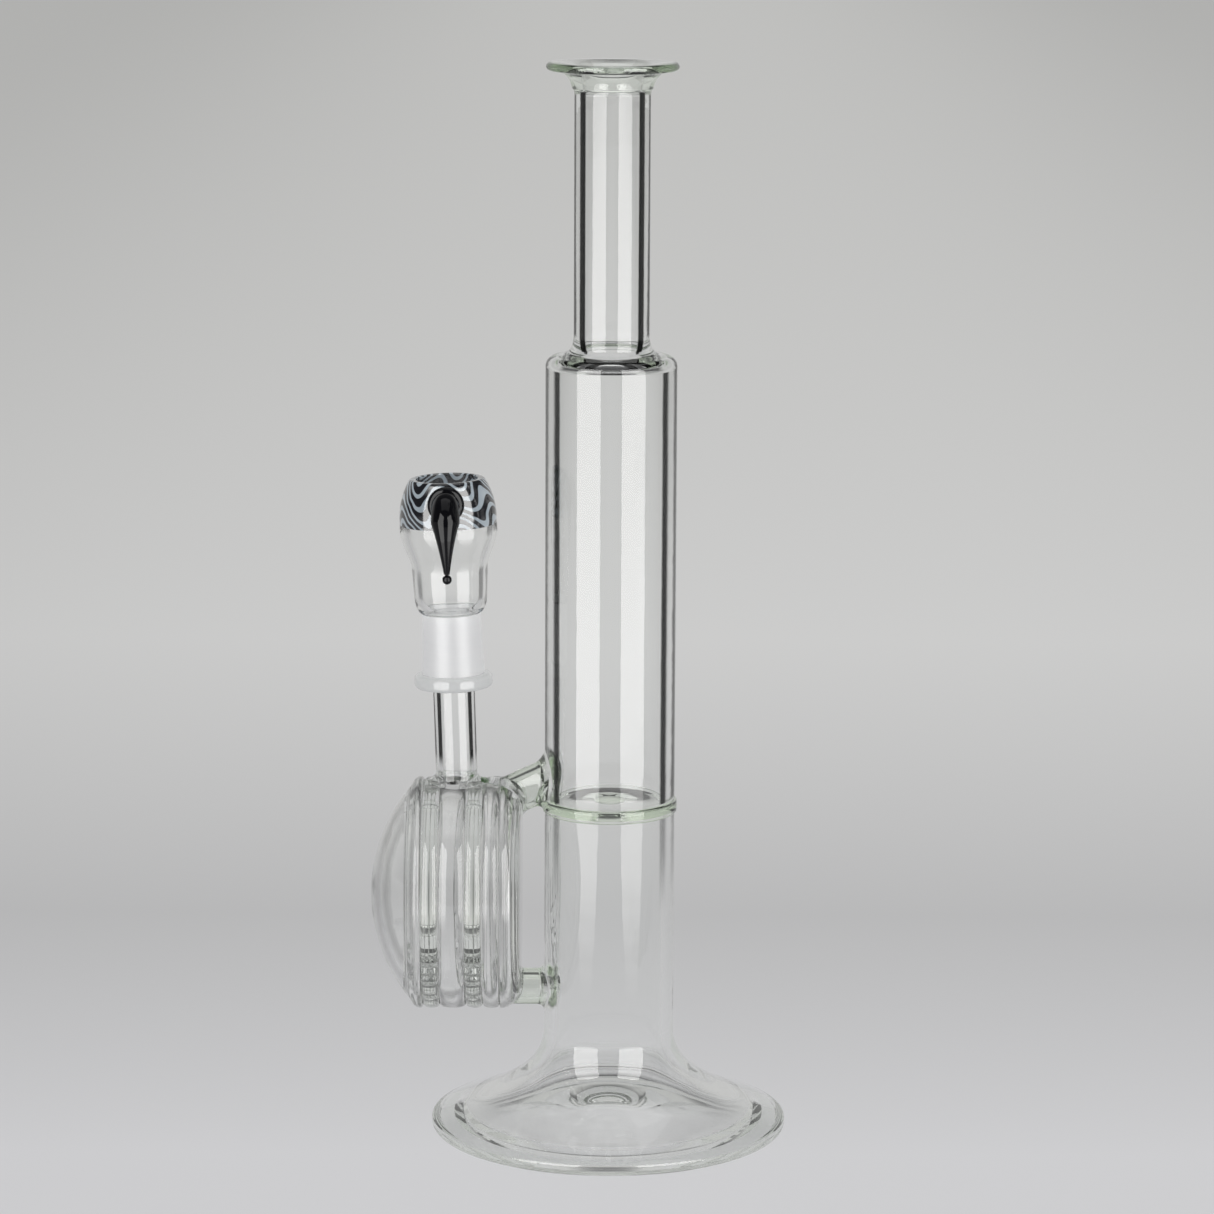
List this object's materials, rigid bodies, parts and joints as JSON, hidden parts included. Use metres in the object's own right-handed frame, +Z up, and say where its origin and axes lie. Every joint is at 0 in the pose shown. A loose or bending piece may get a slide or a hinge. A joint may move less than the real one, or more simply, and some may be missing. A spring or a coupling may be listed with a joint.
{
  "type": "glass water pipe",
  "caption": "Clear glass water pipe: straight column on a flared foot, slotted side drum, inlet stem with a ground joint and a lift-off dome with a horn handle.",
  "frame": {"origin": "centre of the foot's flat underside, on the column's axis", "axes": "+Z up along the column, +X from the drum towards the column, -Y towards the side the horn handle points to"},
  "size_m": [0.1608, 0.1376, 0.4135],
  "materials": {
    "clear_glass": "fire-polished, glossy",
    "weld_glass": "fire-polished, glossy, pale green where it is thick",
    "ground_glass": "ground, frosted",
    "swirl_glass": "glossy, black and pale blue lines worked in",
    "black_glass": "glossy, opaque"
  },
  "bodies": {
    "rig": {"foot_flare": "clear_glass", "foot_floor": "clear_glass", "lower_column": "clear_glass", "divider_ring": "weld_glass", "divider_plate": "weld_glass", "upper_chamber": "clear_glass", "neck_tube": "clear_glass", "lip_flange": "weld_glass", "drum_dome": "clear_glass", "drum_left_ring": "weld_glass", "diffuser_disc_left": "weld_glass", "drum_centre_ring": "clear_glass", "diffuser_disc_right": "weld_glass", "drum_right_ring": "clear_glass", "drum_back_plate": "clear_glass", "uptake_tube": "clear_glass", "drain_tube": "clear_glass", "inlet_stem": "clear_glass", "ground_joint": "ground_glass"},
    "dome": {"socket_rim": "ground_glass", "dome_socket": "ground_glass", "dome_bowl": "clear_glass", "swirl_collar": "swirl_glass", "handle_pad": "black_glass", "handle_horn": "black_glass", "horn_tip": "black_glass"}
  },
  "joints": [
    {"name": "dome_lift", "type": "slide", "parent": "rig", "child": "dome", "axis": [-0.0314, 0, 0.9995], "range_m": [0, 0.04]}
  ]
}
